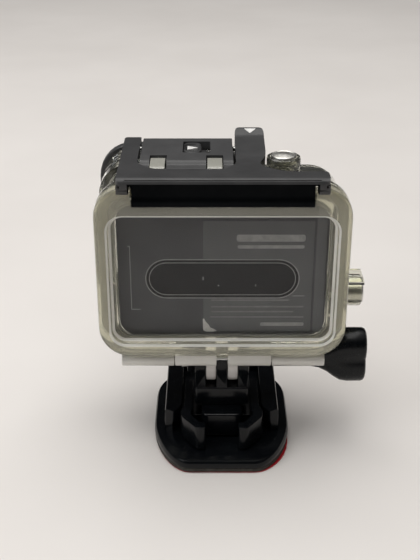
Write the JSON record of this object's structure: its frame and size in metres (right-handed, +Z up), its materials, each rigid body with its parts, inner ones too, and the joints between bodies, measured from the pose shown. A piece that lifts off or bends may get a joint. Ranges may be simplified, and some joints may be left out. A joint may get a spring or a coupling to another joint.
{
  "type": "action camera",
  "caption": "Small action camera in a clear latched dive housing, tilting on a bolted quick-release buckle in a flat adhesive mount.",
  "frame": {"origin": "on the floor at the adhesive face, under the tilt bolt's axis", "axes": "+Z up from the adhesive face, +Y towards the lens, +X to the right of a person looking at the back door"},
  "size_m": [0.0793, 0.052, 0.0906],
  "materials": {
    "clear_shell": "clear polycarbonate, slightly yellowed",
    "mount_gloss": "glossy moulded black",
    "knob_black": "satin moulded black",
    "latch_black": "fine satin texture",
    "lens_black": "satin black",
    "camera_case": "satin dark grey",
    "inset": "darker satin panel",
    "label": "printed film with plain bars",
    "display": "unlit segment display",
    "port_glass": "coated clear glass",
    "steel": "stainless steel",
    "button_metal": "satin chrome",
    "seal": "cream silicone",
    "rubber": "black rubber",
    "foam": "dark foam tape",
    "liner": "red release film",
    "board": "coated circuit board",
    "battery": "wrapped cell"
  },
  "bodies": {
    "mount": {"mount_base": "mount_gloss", "adhesive_pad": "foam", "release_liner": "liner"},
    "buckle": {"buckle_body": "mount_gloss", "thumb_nut": "steel"},
    "clip_left": {"clip_arm_left": "mount_gloss"},
    "clip_right": {"clip_arm_right": "mount_gloss"},
    "thumb_screw": {"thumb_bolt": "steel", "thumb_knob": "knob_black"},
    "housing": {"housing_shell": "clear_shell", "door_seal": "seal", "door_hinge_pin": "steel", "port_bezel": "latch_black", "port_glass": "port_glass", "port_gasket": "rubber", "port_screw_1": "steel", "port_screw_2": "steel", "port_screw_3": "steel", "port_screw_4": "steel", "latch_pin": "steel", "shutter_button_spring": "steel", "shutter_button_o_ring": "rubber", "side_button_spring": "steel", "side_button_o_ring": "rubber", "front_button_spring": "steel", "front_button_o_ring": "rubber", "camera_front_case": "camera_case", "camera_rear_cover": "camera_case", "rear_inset": "inset", "rear_label": "label", "status_display": "display", "lens_barrel": "lens_black", "lens_ring": "steel", "lens_front_glass": "port_glass", "circuit_board": "board", "image_sensor": "board", "memory_card": "lens_black", "battery": "battery"},
    "latch_lever": {"latch_lever": "latch_black", "hook_pin_left": "steel", "hook_pin_right": "steel", "lock_spring": "steel"},
    "latch_hook": {"latch_hook": "latch_black"},
    "latch_lock": {"lock_slider": "latch_black"},
    "back_door": {"back_door": "clear_shell"},
    "shutter_button": {"shutter_button_cap": "button_metal", "shutter_button_clip": "steel"},
    "side_button": {"side_button_cap": "button_metal", "side_button_clip": "steel"},
    "front_button": {"front_button_cap": "button_metal", "front_button_clip": "steel"},
    "camera_shutter": {"camera_shutter_key": "button_metal"},
    "camera_side": {"camera_side_key": "button_metal"},
    "camera_front": {"camera_front_key": "button_metal"}
  },
  "joints": [
    {"name": "buckle_slide", "type": "slide", "parent": "mount", "child": "buckle", "axis": [0, -1, 0], "range_m": [0, 0.045]},
    {"name": "clip_left_squeeze", "type": "hinge", "parent": "buckle", "child": "clip_left", "pos_m": [-0.00995, 0.006, 0.01], "axis": [0, 0, 1], "range_deg": [0, 4], "stiffness_Nm_per_rad": 1, "springref_deg": -2.86},
    {"name": "clip_right_squeeze", "type": "hinge", "parent": "buckle", "child": "clip_right", "pos_m": [0.00995, 0.006, 0.01], "axis": [0, 0, -1], "range_deg": [0, 4], "stiffness_Nm_per_rad": 1, "springref_deg": -2.86},
    {"name": "thumb_turn", "type": "hinge", "parent": "buckle", "child": "thumb_screw", "pos_m": [0, 0, 0.026], "axis": [1, 0, 0], "continuous": true},
    {"name": "housing_tilt", "type": "hinge", "parent": "buckle", "child": "housing", "pos_m": [0, 0, 0.026], "axis": [-1, 0, 0], "range_deg": [-50, 60]},
    {"name": "latch_lift", "type": "hinge", "parent": "housing", "child": "latch_lever", "pos_m": [0, -0.0033, 0.0842], "axis": [1, 0, 0], "range_deg": [0, 100]},
    {"name": "hook_swing", "type": "hinge", "parent": "latch_lever", "child": "latch_hook", "pos_m": [0, 0.013, 0.086], "axis": [1, 0, 0], "range_deg": [-131, 0]},
    {"name": "lock_slide", "type": "slide", "parent": "latch_lever", "child": "latch_lock", "axis": [1, 0, 0], "range_m": [0, 0.0023], "stiffness_N_per_m": 120, "springref_m": -0.002, "deforming": ["lock_spring"]},
    {"name": "door_swing", "type": "hinge", "parent": "housing", "child": "back_door", "pos_m": [0, -0.0088, 0.0298], "axis": [1, 0, 0], "range_deg": [0, 110]},
    {"name": "shutter_press", "type": "slide", "parent": "housing", "child": "shutter_button", "axis": [0, 0, -1], "range_m": [0, 0.0013], "stiffness_N_per_m": 300, "springref_m": -0.0015, "deforming": ["shutter_button_spring"]},
    {"name": "side_press", "type": "slide", "parent": "housing", "child": "side_button", "axis": [-1, 0, 0], "range_m": [0, 0.0013], "stiffness_N_per_m": 300, "springref_m": -0.0015, "deforming": ["side_button_spring"]},
    {"name": "front_press", "type": "slide", "parent": "housing", "child": "front_button", "axis": [0, -1, 0], "range_m": [0, 0.0013], "stiffness_N_per_m": 300, "springref_m": -0.0015, "deforming": ["front_button_spring"]},
    {"name": "camera_shutter_press", "type": "slide", "parent": "housing", "child": "camera_shutter", "axis": [0, 0, -1], "range_m": [0, 0.0013]},
    {"name": "camera_side_press", "type": "slide", "parent": "housing", "child": "camera_side", "axis": [-1, 0, 0], "range_m": [0, 0.0013]},
    {"name": "camera_front_press", "type": "slide", "parent": "housing", "child": "camera_front", "axis": [0, -1, 0], "range_m": [0, 0.0013]}
  ],
  "couplings": [
    {"joint": "hook_swing", "follows": "latch_lift", "ratio": -1.3},
    {"joint": "camera_shutter_press", "follows": "shutter_press", "ratio": 1},
    {"joint": "camera_side_press", "follows": "side_press", "ratio": 1},
    {"joint": "camera_front_press", "follows": "front_press", "ratio": 1}
  ]
}
